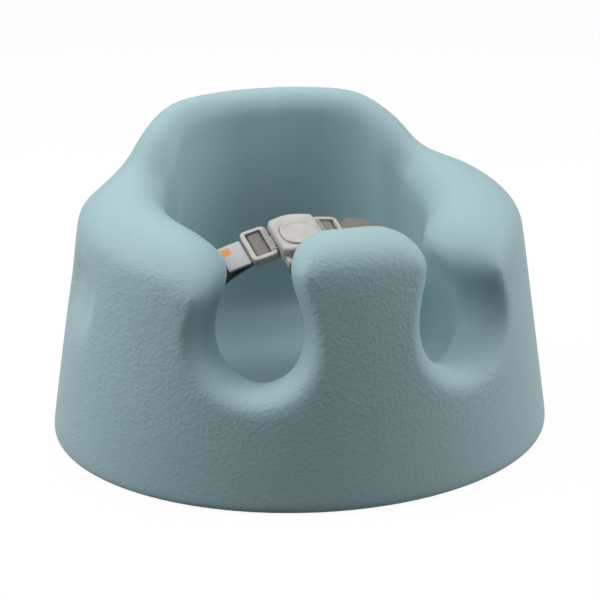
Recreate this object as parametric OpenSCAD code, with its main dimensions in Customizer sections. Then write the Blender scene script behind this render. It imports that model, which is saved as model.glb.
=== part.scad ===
// Baby floor seat: one thick foam moulding with a round back, two arms, a front pommel and
// two keyhole leg openings, and a three-point lap harness with a push-button buckle.
// Millimetres. +Z is up, -Y is the front, and the origin is the middle of the base.

/* [Base and wall] */
// Width of the base
base_w = 380; // [372:1:400]
// Depth of the base
base_d = 350; // [344:1:368]
// Lean of the outer wall towards the middle, in degrees
wall_taper = 8.8; // [8.2:0.1:9.4]
// Round of the bottom edge
base_edge_r = 5; // [3:0.5:9]
// Height of the seat pan above the floor
pan_z = 56; // [50:1:60]
// Distance from the base's side to the flat part of the seat pan
pan_side_in = 118; // [114:1:122]
// Distance from the base's front to the flat part of the seat pan
pan_front_in = 103; // [99:1:107]
// How far the seat pan dips in the middle
pan_dip = 5; // [2:0.5:8]

/* [Pommel] */
// Height of the pommel
pommel_h = 184; // [180:1:188]
// Thickness of the pommel from front to back
pommel_t = 56; // [52:1:58]
// Half width of the pommel's head
pommel_head = 56; // [53:1:57]
// Half width of the pommel's waist
pommel_waist = 43; // [41:1:45]

/* [Leg openings] */
// Height of the lowest point of a leg opening
leg_sill_z = 79; // [77:1:82]
// Place of that lowest point round the wall, from the front
leg_sill_x = 76; // [75:1:78]
// Place of the opening's outer side round the wall
leg_outer_x = 118; // [116:1:120]
// Thickness of the wall round a leg opening
leg_wall_t = 42; // [40:1:46]

/* [Arms] */
// Height of the arms
arm_h = 184; // [180:1:187]
// Thickness of the arms
arm_t = 68; // [64:1:70]
// Place of the arm's front tip round the wall
arm_tip_x = 108; // [106:1:110]

/* [Backrest] */
// Height of the backrest
back_h = 233; // [228:1:238]
// Thickness of the backrest's rim
back_t = 34; // [31:1:37]
// How far the backrest stands in from the outer wall
back_step = 14; // [11:1:17]
// How far the wings beside it stand in further
wing_step = 4; // [2:0.5:6]
// Height at which that step starts
step_z = 158; // [154:1:162]
// Height over which it grows
step_rise = 42; // [36:1:48]

/* [Side scoops] */
// Angle of a scoop's middle from the front
scoop_a = 89; // [86:1:92]
// Height of a scoop's middle
scoop_z = 118; // [114:1:122]
// Half width of a scoop
scoop_w = 42; // [36:1:46]
// Half height of a scoop
scoop_h = 27; // [22:1:30]
// Depth of a scoop
scoop_d = 8; // [5:0.5:10]

/* [Webbing] */
// Width of the webbing
web_w = 25; // [20:0.5:27]
// Thickness of the webbing
web_t = 1.4; // [1:0.1:1.6]
// Gap between the webbing and what it passes
web_gap = 0.4; // [0.3:0.05:0.5]
// Length of the left strap's loose tail past its tongue's frame
left_tail_l = 11; // [8:1:12]
// Length of the right strap's loose tail past its tongue's frame
right_tail_l = 34; // [26:1:36]

/* [Strap anchors] */
// Angle of the lap straps' slots from the front
anchor_a = 82; // [78:1:86]
// Distance of the lap straps' slots from the base's side
anchor_in = 110; // [108:0.5:112]
// Distance of the crotch strap's slot from the base's front
crotch_in = 99; // [97:0.5:101]
// Width of a slot through the foam
slot_w = 4; // [3.6:0.1:5]
// Length of an anchor plate past the webbing, on each side
plate_ear = 8; // [6:0.5:10]
// Width of an anchor plate
plate_w = 18; // [16:0.5:20]
// Thickness of an anchor plate
plate_t = 3; // [2.5:0.1:3.5]
// Depth of the pocket under the seat that holds an anchor plate
pocket_d = 10.3; // [9:0.1:14]

/* [Buckle place] */
// Sideways place of the buckle
buckle_x = -17.5; // [-20:0.1:-15]
// Distance of the buckle from the base's front
buckle_in = 132.4; // [130:0.1:135]
// Height of the buckle
buckle_z = 158.8; // [156:0.1:162]
// How far the buckle's face tips forward, in degrees
buckle_pitch = 20; // [16:0.5:23]
// How far the buckle's right end is raised, in degrees
buckle_roll = 3.5; // [2:0.1:6]
// How far the buckle is turned, in degrees
buckle_turn = 4; // [0:0.5:6]

/* [Buckle shell] */
// Width of the shell between the tongues
shell_w = 35; // [34:0.5:38]
// Length of the shell across the straps
shell_l = 38; // [36:0.5:40]
// How far the shell lies in front of the straps' line
shell_front = 3.5; // [2.5:0.1:4]
// How far the shell's rear edge bulges
shell_bow = 2.6; // [1.5:0.1:3]
// Height of the shell
shell_h = 13; // [12.6:0.1:15]
// Wall of the shell
shell_wall = 1.8; // [1.6:0.1:2]
// Corner radius of the shell
shell_r = 5; // [4.5:0.5:6]
// Gap between moving plastic pieces
run_gap = 0.3; // [0.2:0.05:0.4]
// Radius of the bar that holds the crotch strap
bar_r = 1.6; // [1.4:0.1:1.8]

/* [Button] */
// Width of the button
button_w = 27; // [24:0.5:27.5]
// Length of the button
button_l = 25; // [22:0.5:27]
// Corner radius of the button
button_r = 10; // [7:0.5:11]
// Height of the button above the shell
button_rise = 1.2; // [0.8:0.1:1.6]
// Travel of the button
button_travel = 3; // [2:0.1:3]
// Thickness of the button's flange
flange_t = 1.3; // [1:0.1:1.4]
// Outer radius of the button's spring
spring_r = 3.5; // [3:0.1:3.8]
// Wire radius of the button's spring
wire_r = 0.35; // [0.3:0.05:0.4]
// Turns of the button's spring
spring_turns = 4; // [3:1:4]

/* [Tongues] */
// Reach of a tongue's frame out from the shell
frame_reach = 19.2; // [18.5:0.1:20.5]
// Length of a tongue's frame across the strap
frame_l = 34; // [32:0.5:36]
// Thickness of a tongue's frame
frame_t = 5.6; // [5.4:0.1:6.4]
// Width of the frame's bar beside the shell
frame_root = 3.8; // [3.2:0.1:4]
// Width of the frame's outer bar
frame_bar = 3.2; // [3:0.1:3.4]
// Downward bend of a tongue's frame, in degrees
frame_bend = 12; // [9:0.5:13]
// Thickness of a tongue's insert
insert_t = 2.6; // [2.2:0.1:2.6]
// Depth of a tongue's insert in the shell
insert_d = 9.5; // [8.5:0.1:9.8]
// Half width of the pair of latch arms
latch_y = 10.8; // [10:0.1:11]
// Sideways reach of a latch arm's barb past the arm
barb = 2.2; // [1.8:0.1:2.4]

/* [Tag] */
// Length of the folded tag along the tail
tag_l = 8.5; // [7:0.5:9]
// Thickness of the tag's cloth
tag_t = 0.4; // [0.3:0.1:0.5]

/* [Hidden] */

foam = [0.56, 0.70, 0.72];
webbing = [0.47, 0.45, 0.43];
plastic = [0.72, 0.70, 0.68];
steel = [0.75, 0.76, 0.78];
eps = 0.01;

function lerp(a, b, t) = a + (b - a)*t;
function clamp01(x) = min(1, max(0, x));
function smooth(x) = x*x*(3 - 2*x);
function unit(v) = v/norm(v);
function bezier(a, b, c, d, t) =
  a*pow(1 - t, 3) + 3*b*t*pow(1 - t, 2) + 3*c*t*t*(1 - t) + d*pow(t, 3);

// ---- Foam body: a loft whose stations follow the rim once round the seat ----

// The rim is drawn on the wall laid out flat: x runs round the wall from the front at the
// radius flat_r, and z is the height. Only the right half is drawn, and the left mirrors it.
flat_r = 150;
half_turn = PI*flat_r;
half_stations = 78;

// Each guide point: x, height, foot of its station, wall thickness, outer round, inner round
rim = [
  [0, pommel_h, 0, pommel_t, 24, 24],
  [pommel_head - 17, pommel_h - 3, 5.9, pommel_t, 22.1, 22],
  [pommel_head, pommel_h - 22, 14.5, pommel_t - 2, 17.6, 17.2],
  [pommel_waist, pommel_h - 62, 30, pommel_t - 4, 13.3, 11.4],
  [pommel_waist + 7, leg_sill_z + 14, 55.5, leg_wall_t + 4, 16.6, 13.1],
  [leg_sill_x, leg_sill_z, leg_sill_x + 2, leg_wall_t, 12.8, 8.1],
  [leg_outer_x - 14, leg_sill_z + 12, 99, leg_wall_t, 12.2, 10.5],
  [leg_outer_x, leg_sill_z + 35, 116.7, leg_wall_t, 8.1, 8.3],
  [arm_tip_x, arm_h - 42, 136.3, leg_wall_t + 8, 12.4, 15.2],
  [arm_tip_x + 14, arm_h - 23, 153.4, arm_t - 6, 19.7, 21.7],
  [arm_tip_x + 45, arm_h - 11, 176.2, arm_t, 23.6, 25.8],
  [205, arm_h - 4, 212.8, arm_t, 23, 28],
  [262, arm_h + 1, 262, arm_t - 6, 22, 28],
  [298, arm_h + 8, 296, back_t + 12, 24, 24],
  [328, back_h - 19, 326, back_t + 2, 21, 22],
  [368, back_h - 3, 369, back_t - 2, 20, 20],
  [423, back_h, 424, back_t - 2, 20, 20],
  [half_turn, back_h + 0.5, half_turn, back_t, 20, 20]];

// Points past either end, so that the curve runs level through the front and the back
function before(p) = [-p[0], p[1], -p[2], p[3], p[4], p[5]];
function after(p) = [2*half_turn - p[0], p[1], 2*half_turn - p[2], p[3], p[4], p[5]];
guide = concat([before(rim[1])], rim, [after(rim[len(rim) - 2])]);

// A smooth curve through the guide points, and its length, to space the stations evenly
function through(a, b, c, d, t) =
  0.5*(2*b + (c - a)*t + (2*a - 5*b + 4*c - d)*t*t + (3*b - a - 3*c + d)*t*t*t);
rim_spans = len(rim) - 1;
function rim_at(u) = let (i = min(floor(u), rim_spans - 1))
  through(guide[i], guide[i + 1], guide[i + 2], guide[i + 3], u - i);
steps = 20;
fine = [for (i = [0:rim_spans*steps]) rim_at(i/steps)];
function step_len(i) = norm([fine[i][0] - fine[i - 1][0], fine[i][1] - fine[i - 1][1]]);
along = [for (i = 0, s = 0; i < len(fine); i = i + 1, s = s + (i < len(fine) ? step_len(i) : 0)) s];
function place(s, lo, hi) = hi - lo <= 1
  ? (lo + (s - along[lo])/(along[hi] - along[lo]))/steps
  : let (m = floor((lo + hi)/2)) along[m] <= s ? place(s, m, hi) : place(s, lo, m);
last = half_stations;
rim_length = along[len(along) - 1];
place_of = [for (i = [0:last]) i == last ? rim_spans : place(rim_length*i/last, 0, len(along) - 1)];

// Crest of the rim, its in-plane normal, and where its outer and inner rounds end
station = [for (u = place_of) rim_at(u)];
crest = [for (s = station) [s[0], s[1]]];
function way(u) = unit([for (k = [0, 1])
  rim_at(min(rim_spans, u + 0.02))[k] - rim_at(max(0, u - 0.02))[k]]);
across = [for (u = place_of) [-way(u)[1], way(u)[0]]];
outer_end = [for (i = [0:last]) crest[i] - station[i][4]*across[i]];
inner_end = [for (i = [0:last]) crest[i] - station[i][5]*across[i]];

// The outer wall: a leaning oval that steps in for the backrest and has a scoop in each side
function angle(x) = x/flat_r*180/PI;
function oval(a) = 1/norm([sin(a)/(base_w/2), cos(a)/(base_d/2)]);
step_a = 100;
step_turn = 20;
wing_a = 122;
wing_spread = 18;
function step_in(a, z) = smooth(clamp01((a - step_a)/step_turn))*smooth(clamp01((z - step_z)/step_rise))
  *(back_step + wing_step*exp(-pow((a - wing_a)/wing_spread, 2)));
function scoop(a, z) = let (side = (a - scoop_a)*PI/180*oval(scoop_a)/scoop_w, up = (z - scoop_z)/scoop_h)
  scoop_d*smooth(clamp01(1.5*(1 - side*side - up*up)));
function wall(a, z) = oval(a) - z*tan(wall_taper) - step_in(a, z) - scoop(a, z);
function spot(a, r, z) = [r*sin(a), -r*cos(a), z];
function pan(a) = 1/norm([sin(a)/(base_w/2 - pan_side_in), cos(a)/(base_d/2 - pan_front_in)]);

// A sheet of rows from a level line up to the rim's round, evened out so that no lines cross
rows = 12;
pan_rows = 8;
function ruled(z, top, n) = [for (j = [0:n]) [for (i = [0:last]) lerp([station[i][2], z], top[i], j/n)]];
function left_of(row, i) = i == 0 ? [-row[1][0], row[1][1]] : row[i - 1];
function right_of(row, i) = i == last ? [2*half_turn - row[i - 1][0], row[i - 1][1]] : row[i + 1];
function evened(g, j, i) = let (
    e = right_of(g[j], i), w = left_of(g[j], i), n = g[j + 1][i], s = g[j - 1][i],
    dx = (e - w)/2, dy = (n - s)/2, p = dy*dy + 1e-6, q = dx*dy, r = dx*dx + 1e-6,
    twist = right_of(g[j + 1], i) - right_of(g[j - 1], i) - left_of(g[j + 1], i) + left_of(g[j - 1], i),
    goal = (p*(e + w) + r*(n + s) - 0.5*q*twist)/(2*(p + r)))
  lerp(g[j][i], goal, 0.9);
function even(g, passes) = passes == 0 ? g : even(
  [for (j = [0:len(g) - 1]) j == 0 || j == len(g) - 1 ? g[j] : [for (i = [0:last]) evened(g, j, i)]],
  passes - 1);
passes = 60;
outer_sheet = even(ruled(base_edge_r, outer_end, rows), passes);
inner_sheet = even(ruled(pan_z, inner_end, pan_rows), passes);
function on_sheet(g, i, e) = let (k = min(floor(e), len(g) - 2)) lerp(g[k][i], g[k + 1][i], e - k);

// One station: base edge, outer wall, over the rim, inner wall and seat pan
edge_rows = 3;
round_rows = 6;
floor_rows = 4;
wall_crowd = 1.2;
pan_crowd = 1.5;
pan_curve = 2.6;
function section(i, side) = let (
    s = station[i], n = across[i], c = crest[i], a0 = angle(s[2]), t = s[3],
    mid = wall(angle(c[0]), c[1]) - t/2)
  concat(
    [for (k = [0:edge_rows - 1]) let (w = 90*k/edge_rows)
      spot(side*a0, wall(a0, base_edge_r) - base_edge_r*(1 - sin(w)), base_edge_r*(1 - cos(w)))],
    [for (j = [0:rows]) let (
        q = on_sheet(outer_sheet, i, rows*(1 - pow(1 - j/rows, wall_crowd))), a = angle(q[0]))
      spot(side*a, wall(a, q[1]), q[1])],
    [for (k = [1:round_rows]) let (
        w = 90*k/round_rows, q = c - s[4]*n*(1 - sin(w)), a = angle(q[0]))
      spot(side*a, lerp(mid, wall(a, q[1]), cos(w)), q[1])],
    [for (k = [1:round_rows]) let (w = 90*k/round_rows, q = c - s[5]*n*(1 - cos(w)))
      spot(side*angle(q[0]), mid - t/2*sin(w), q[1])],
    [for (j = [pan_rows - 1:-1:0]) let (
        e = pow(j/pan_rows, pan_crowd), q = on_sheet(inner_sheet, i, pan_rows*e))
      spot(side*angle(q[0]),
        lerp(pan(angle(q[0])), mid - t/2, pow(1 - pow(1 - e, pan_curve), 1/pan_curve)), q[1])],
    [for (k = [1:floor_rows - 1]) let (f = 1 - k/floor_rows)
      spot(side*a0, pan(a0)*f, pan_z - pan_dip*(1 - f*f))]);

sections = concat([for (i = [0:last]) section(i, 1)], [for (i = [last - 1:-1:1]) section(i, -1)]);
// The skin's four-sided cells are split along their shorter diagonal
module foam_shape() {
  n = len(sections);
  m = len(sections[0]);
  under = n*m;
  middle = under + 1;
  points = concat([for (s = sections) each s], [[0, 0, 0], [0, 0, pan_z - pan_dip]]);
  skin = [for (i = [0:n - 1], j = [0:m - 2]) let (
      a = i*m + j, b = a + 1, c = ((i + 1)%n)*m + j, d = c + 1)
    each norm(points[a] - points[d]) <= norm(points[b] - points[c])
      ? [[a, b, d], [a, d, c]] : [[a, b, c], [b, d, c]]];
  bottom = [for (i = [0:n - 1]) [i*m, ((i + 1)%n)*m, under]];
  centre = [for (i = [0:n - 1]) [((i + 1)%n)*m + m - 1, i*m + m - 1, middle]];
  polyhedron(points, concat(skin, bottom, centre), convexity = 6);
}

// ---- Strap anchors: a slot and a pocket in the foam, and a plate in each pocket ----

slot_end_gap = 0.9;
plate_slot_gap = 1;
plate_corner_r = 3;
slot_over = 45;
slot_l = web_w + 2*slot_end_gap;
plate_l = web_w + 2*plate_ear;
plate_z = pocket_d - web_gap - plate_t;
anchor_r = base_w/2 - anchor_in;
crotch_r = base_d/2 - crotch_in;
module at_anchor(side) {
  rotate([0, 0, side*anchor_a]) translate([0, -anchor_r, 0]) children();
}
module at_crotch() {
  translate([0, -crotch_r, 0]) children();
}
module rounded_flat(w, l, r) {
  union() {
    square([w - 2*r, l], center = true);
    square([w, l - 2*r], center = true);
    for (x = [-1, 1], y = [-1, 1]) translate([x*(w/2 - r), y*(l/2 - r)]) circle(r, $fn = 32);
  }
}
module rounded(size, r) {
  linear_extrude(size[2]) rounded_flat(size[0], size[1], r);
}
module strap_way() {
  translate([-slot_l/2, -slot_w/2, pocket_d - eps]) cube([slot_l, slot_w, pan_z + slot_over]);
  translate([-plate_l/2 - web_gap, -plate_w/2 - web_gap, -1])
    cube([plate_l + 2*web_gap, plate_w + 2*web_gap, pocket_d + 1]);
}
module anchor_plate() {
  color(plastic) translate([0, 0, plate_z]) difference() {
    rounded([plate_l, plate_w, plate_t], plate_corner_r);
    translate([0, 0, -1]) linear_extrude(plate_t + 2)
      square([slot_l, web_t + 2*plate_slot_gap], center = true);
  }
}
module seat_body() {
  color(foam) difference() {
    foam_shape();
    for (side = [-1, 1]) at_anchor(side) strap_way();
    at_crotch() strap_way();
  }
}
module left_anchor_plate() { at_anchor(-1) anchor_plate(); }
module right_anchor_plate() { at_anchor(1) anchor_plate(); }
module crotch_anchor_plate() { at_crotch() anchor_plate(); }

// ---- Buckle: drawn flat about its own middle, then set down on its tilted place ----

half_w = shell_w/2;
inner_h = shell_h/2 - shell_wall;
hollow_r = shell_r - 2*shell_wall;
shell_edge = 2.2;
base_edge = 1.4;
buckle_at = [buckle_x, buckle_in - base_d/2, buckle_z];
module at_buckle() {
  translate(buckle_at) rotate([buckle_pitch, -buckle_roll, buckle_turn]) children();
}

// A moulded slab with a rounded top edge, whose rear edge can bulge by bow
module domed(size, r, edge, bow = 0) {
  hull() {
    slab(size - [0, 0, edge], r, bow);
    for (a = [30, 60, 90]) let (inset = edge*(1 - cos(a)))
      slab(size - [2*inset, 2*inset, edge*(1 - sin(a))], r - inset, bow);
  }
}
module slab(size, r, bow) {
  half = size[0]/2 - r;
  bow_r = (half*half + bow*bow)/(2*max(bow, eps));
  rounded(size, r);
  if (bow > 0) linear_extrude(size[2]) polygon([[-half, 0], [half, 0],
    for (x = [half:-half/4:-half]) [x, size[1]/2 + bow - bow_r + sqrt(bow_r*bow_r - x*x)]]);
}

// The pressed button's flange stops just above the tongues' inserts
press_gap = 0.5;
button_front = shell_front + 2;
flange_z = inner_h - run_gap - flange_t;
insert_top = flange_z - button_travel - press_gap;
insert_low = insert_top - insert_t;
mouth_gap = 0.4;
mouth_y = latch_y + mouth_gap;

// The crotch strap's bar stands off the shell by the webbing that goes round it
shell_end = -shell_front - shell_l/2;
bar_y = shell_end - web_t - 2*web_gap - bar_r;
lug_w = 3;
lug_r = bar_r + 0.8;
lug_drop = 0.1;
bar_z = -lug_r - lug_drop;
bar_l = web_w + 2*web_gap + 1;

module shell_hollow(z0, z1) {
  translate([0, -shell_front, z0]) rounded([shell_w - 2*shell_wall, shell_l - 2*shell_wall, z1 - z0], hollow_r);
}
module mouths() {
  translate([-half_w - 1, -mouth_y, insert_low - mouth_gap])
    cube([shell_w + 2, 2*mouth_y, insert_t + 2*mouth_gap]);
}
// An ear of the base that holds one end of the bar, and runs back through the shell's wall
module lug() {
  rotate([0, 90, 0]) linear_extrude(lug_w, center = true) union() {
    translate([0, bar_y]) circle(lug_r, $fn = 32);
    translate([-lug_r, bar_y]) square([2*lug_r, shell_end + 1.5*shell_wall - bar_y]);
  }
}
module buckle_base() {
  color(plastic) at_buckle() {
    difference() {
      union() {
        translate([0, -shell_front, 0]) mirror([0, 0, 1])
          domed([shell_w, shell_l, shell_h/2], shell_r, base_edge, shell_bow);
        for (x = [-1, 1]) translate([x*(web_w/2 + web_gap + lug_w/2), 0, bar_z]) lug();
      }
      shell_hollow(-inner_h, 1);
      mouths();
    }
    translate([0, bar_y, bar_z]) rotate([0, 90, 0])
      cylinder(h = bar_l, r = bar_r, center = true, $fn = 32);
  }
}
module buckle_cover() {
  color(plastic) at_buckle() difference() {
    translate([0, -shell_front, 0]) domed([shell_w, shell_l, shell_h/2], shell_r, shell_edge, shell_bow);
    shell_hollow(-1, inner_h);
    mouths();
    translate([0, -button_front, inner_h - 1])
      rounded([button_w + 2*run_gap, button_l + 2*run_gap, shell_wall + 2], button_r + run_gap);
  }
}

flange_lip = 1;
flange_w = min(button_w + 2*flange_lip, shell_w - 2*shell_wall - 2*run_gap);
button_edge = 1;
module release_button() {
  color(plastic) at_buckle() {
    translate([0, -button_front, flange_z]) rounded([flange_w, button_l + 2*flange_lip, flange_t], button_r);
    translate([0, -button_front, flange_z + flange_t])
      domed([button_w, button_l, shell_h/2 + button_rise - flange_z - flange_t], button_r, button_edge);
  }
}

// The spring stands on the shell's floor and pushes the button up
spring_low = run_gap - inner_h;
spring_top = flange_z - run_gap;
spring_sides = 6;
spring_steps = 12;
module button_spring() {
  rise = spring_top - spring_low - 2*wire_r;
  rings = spring_turns*spring_steps;
  core = spring_r - wire_r;
  points = [for (i = [0:rings]) let (w = 360*i/spring_steps, z = spring_low + wire_r + rise*i/rings)
    for (k = [0:spring_sides - 1]) let (v = 360*k/spring_sides, d = core + wire_r*cos(v))
      [d*cos(w), d*sin(w), z + wire_r*sin(v)]];
  function id(i, k) = i*spring_sides + k%spring_sides;
  skin = [for (i = [0:rings - 1], k = [0:spring_sides - 1])
    each [[id(i, k), id(i, k + 1), id(i + 1, k + 1)], [id(i, k), id(i + 1, k + 1), id(i + 1, k)]]];
  ends = concat([for (k = [1:spring_sides - 2]) [id(0, 0), id(0, k + 1), id(0, k)]],
    [for (k = [1:spring_sides - 2]) [id(rings, 0), id(rings, k), id(rings, k + 1)]]);
  color(steel) at_buckle() polyhedron(points, concat(skin, ends), convexity = 8);
}

// ---- Tongues: a bent frame that carries the strap, and an insert that the shell latches ----

tongue_x = half_w + run_gap + frame_t/2*sin(frame_bend);
hinge_z = (insert_top + insert_low)/2;
frame_r = 4;
frame_edge = 1;
side_gap = 1;
mid_bar_r = 1.1;
mid_bar_w = 3.6;
mid_bar_x = (frame_root + frame_reach - frame_bar)/2;
mid_bar_z = -1.5;
outer_bar_low = -0.8;
insert_w = 12;
insert_root = 0.4;
module in_frame() {
  translate([tongue_x, 0, hinge_z]) rotate([0, frame_bend, 0]) children();
}
module tongue() {
  in_frame() difference() {
    translate([frame_reach/2, 0, -frame_t/2]) domed([frame_reach, frame_l, frame_t], frame_r, frame_edge);
    translate([frame_root, -web_w/2 - side_gap, -frame_t])
      cube([frame_reach - frame_bar - frame_root, web_w + 2*side_gap, 2*frame_t]);
    translate([frame_root, -web_w/2 - side_gap, -frame_t])
      cube([frame_reach, web_w + 2*side_gap, frame_t + outer_bar_low]);
  }
  in_frame() translate([mid_bar_x, 0, mid_bar_z]) rotate([90, 0, 0])
    linear_extrude(web_w + 2*side_gap + 1, center = true) union() {
      square([mid_bar_w, 2*mid_bar_r], center = true);
      for (x = [-1, 1]) translate([x*mid_bar_w/2, 0]) circle(mid_bar_r, $fn = 32);
    }
  translate([half_w - insert_d, -insert_w/2, insert_low])
    cube([tongue_x + insert_root - half_w + insert_d, insert_w, insert_t]);
}

// The two springy arms beside the insert: each has a barb that catches behind the shell's wall
arm_w = 2.2;
arm_splay = 0.3;
arm_short = 1;
module latch_arm() {
  root_x = tongue_x - insert_t/2*tan(frame_bend);
  catch_x = half_w - shell_wall - run_gap;
  tip_x = half_w - insert_d + arm_short;
  translate([0, 0, insert_low]) linear_extrude(insert_t)
    polygon([[root_x, latch_y - arm_w], [root_x, latch_y], [catch_x, latch_y], [catch_x, latch_y + barb],
      [tip_x, latch_y + arm_splay], [tip_x, latch_y - arm_w]]);
}
module latch_arms() {
  latch_arm();
  mirror([0, 1, 0]) latch_arm();
}
module left_tongue() { color(plastic) at_buckle() mirror([1, 0, 0]) tongue(); }
module right_tongue() { color(plastic) at_buckle() tongue(); }
module left_latch_arms() { color(plastic) at_buckle() mirror([1, 0, 0]) latch_arms(); }
module right_latch_arms() { color(plastic) at_buckle() latch_arms(); }

// ---- Webbing: a flat band swept along a route ----

// Turns a point of the buckle's own frame into the seat's frame
function tip_x(p, a) = [p[0], p[1]*cos(a) - p[2]*sin(a), p[1]*sin(a) + p[2]*cos(a)];
function tip_y(p, a) = [p[0]*cos(a) + p[2]*sin(a), p[1], p[2]*cos(a) - p[0]*sin(a)];
function tip_z(p, a) = [p[0]*cos(a) - p[1]*sin(a), p[0]*sin(a) + p[1]*cos(a), p[2]];
function turned(p) = tip_z(tip_y(tip_x(p, buckle_pitch), -buckle_roll), buckle_turn);
function placed(p) = turned(p) + buckle_at;
function framed(p, side) = let (q = tip_y([p[0], 0, p[1]], frame_bend))
  placed([side*(q[0] + tongue_x), q[1], q[2] + hinge_z]);

// A band: at each point of the route, its direction and its width make the four corners
module band(route, widths) {
  n = len(route);
  points = [for (i = [0:n - 1]) let (
      d = unit(route[min(n - 1, i + 1)] - route[max(0, i - 1)]),
      w = unit(widths[i] - d*(widths[i]*d)),
      t = cross(d, w))
    each [for (k = [[-1, -1], [1, -1], [1, 1], [-1, 1]]) route[i] + w*k[0]*web_w/2 + t*k[1]*web_t/2]];
  skin = [for (i = [0:n - 2], k = [0:3]) let (a = 4*i + k, b = 4*i + (k + 1)%4)
    each [[a, b + 4, b], [a, a + 4, b + 4]]];
  ends = [[0, 1, 2], [0, 2, 3], [4*n - 4, 4*n - 2, 4*n - 3], [4*n - 4, 4*n - 1, 4*n - 2]];
  color(webbing) polyhedron(points, concat(skin, ends), convexity = 6);
}

// Down through the slot and the plate, then folded flat under the plate: how far out, and height
fold_r = 1.6;
fold_l = 7;
fold_z = plate_z - web_gap - web_t/2;
slot_top = pan_z + 6;
foot_route = concat(
  [for (z = [slot_top - 8, plate_z + plate_t + 2]) [0, z]],
  [for (w = [0:30:90]) [fold_r*(1 - cos(w)), fold_z + fold_r*(1 - sin(w))]],
  [[fold_l, fold_z]]);
function foot_at(foot, out) = [for (p = foot_route) [foot[0], foot[1], p[1]] + out*p[0]];

// Round a tongue's middle bar: the tail, which may rise and sag, comes in below the outer bar
// and the load leaves under it
ply_z = outer_bar_low - web_gap - web_t/2;
ply_gap = 1.2;
ply_lead = 0.6;
load_z = ply_z - web_t - ply_gap;
wrap_r = mid_bar_r + web_gap + web_t/2;
wrap_x = mid_bar_x + mid_bar_w/2;
turn_r = 2.2;
frame_end = frame_reach + 1;
tail_parts = 5;
function wrap(tail, rise, sag) = concat(
  [for (i = [tail_parts:-1:0]) let (d = tail*i/tail_parts) [frame_end + d, ply_z + rise*d - sag*d*d]],
  [[wrap_x + wrap_r + ply_lead, ply_z]],
  [for (w = [0:30:90]) [wrap_x + wrap_r*cos(w), mid_bar_z + wrap_r*sin(w)]],
  [for (w = [90:30:180]) [wrap_x - mid_bar_w + wrap_r*cos(w), mid_bar_z + wrap_r*sin(w)]],
  [for (w = [180:30:270])
    [wrap_x - mid_bar_w - wrap_r + turn_r*(1 + cos(w)), load_z + turn_r*(1 + sin(w))]],
  [[frame_end, load_z]]);

// A lap strap leaves its tongue going out by reach_out, which falls by droop, and comes down on
// its slot from reach_up
strap_steps = 14;
function lap_route(side, wrap, reach_out, droop, reach_up) = let (
    start = framed([frame_end, load_z], side),
    ahead = framed([frame_end + reach_out, load_z - droop*reach_out], side),
    out = spot(side*anchor_a, 1, 0),
    foot = anchor_r*out + [0, 0, slot_top])
  concat(
    [for (p = wrap) framed(p, side)],
    [for (i = [1:strap_steps]) bezier(start, ahead, foot + [0, 0, reach_up], foot, i/strap_steps)],
    foot_at(foot, out));
function lap_widths(side, wrap) = let (top = turned([0, 1, 0]), foot = [side*cos(anchor_a), sin(anchor_a), 0])
  concat([for (p = wrap) top],
    [for (i = [1:strap_steps]) lerp(top, foot, smooth(i/strap_steps))],
    [for (p = foot_route) foot]);
left_wrap = wrap(left_tail_l, 0, 0);
right_wrap = wrap(right_tail_l, 0.45, 0.012);
module left_lap_strap() { band(lap_route(-1, left_wrap, 24, 0.35, 64), lap_widths(-1, left_wrap)); }
module right_lap_strap() { band(lap_route(1, right_wrap, 40, 0.3, 84), lap_widths(1, right_wrap)); }

// The crotch strap hangs from the bar on the front of the buckle
loop_r = bar_r + web_gap + web_t/2;
crotch_tail = 12;
crotch_hang = 6;
crotch_lead = 24;
crotch_reach_up = 30;
crotch_loop = concat(
  [for (z = [-crotch_tail, -crotch_tail/2]) [loop_r, z]],
  [for (w = [0:30:180]) [loop_r*cos(w), loop_r*sin(w)]]);
function crotch_route() = let (
    start = placed([0, bar_y - loop_r, bar_z - crotch_hang]),
    foot = [0, -crotch_r, slot_top],
    lead = start - [0, 0, crotch_lead],
    rise = foot + [0, 0, crotch_reach_up])
  concat(
    [for (p = crotch_loop) placed([0, bar_y + p[0], bar_z + p[1]])],
    [for (i = [0:strap_steps]) bezier(start, lead, rise, foot, i/strap_steps)],
    foot_at(foot, [0, -1, 0]));
module crotch_strap() {
  route = crotch_route();
  loop = len(crotch_loop);
  band(route, [for (i = [0:len(route) - 1]) i < loop ? turned([-1, 0, 0]) : [-1, 0, 0]]);
}

// The folded tag is a flat sleeve over the left strap's tail
tag_gap = 0.2;
module strap_tag() {
  hollow = [tag_l + 2, web_w + 2*tag_gap, web_t + 2*tag_gap];
  color("white") at_buckle() mirror([1, 0, 0]) in_frame() translate([frame_end + tag_gap, 0, ply_z])
    difference() {
      translate([0, -hollow[1]/2 - tag_t, -hollow[2]/2 - tag_t])
        cube([tag_l, hollow[1] + 2*tag_t, hollow[2] + 2*tag_t]);
      translate([-1, -hollow[1]/2, -hollow[2]/2]) cube(hollow);
    }
}

seat_body();
left_anchor_plate();
right_anchor_plate();
crotch_anchor_plate();
left_lap_strap();
right_lap_strap();
crotch_strap();
strap_tag();
buckle_base();
buckle_cover();
release_button();
button_spring();
left_tongue();
right_tongue();
left_latch_arms();
right_latch_arms();
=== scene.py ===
import math

import bpy
from mathutils import Euler, Matrix, Vector


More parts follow.
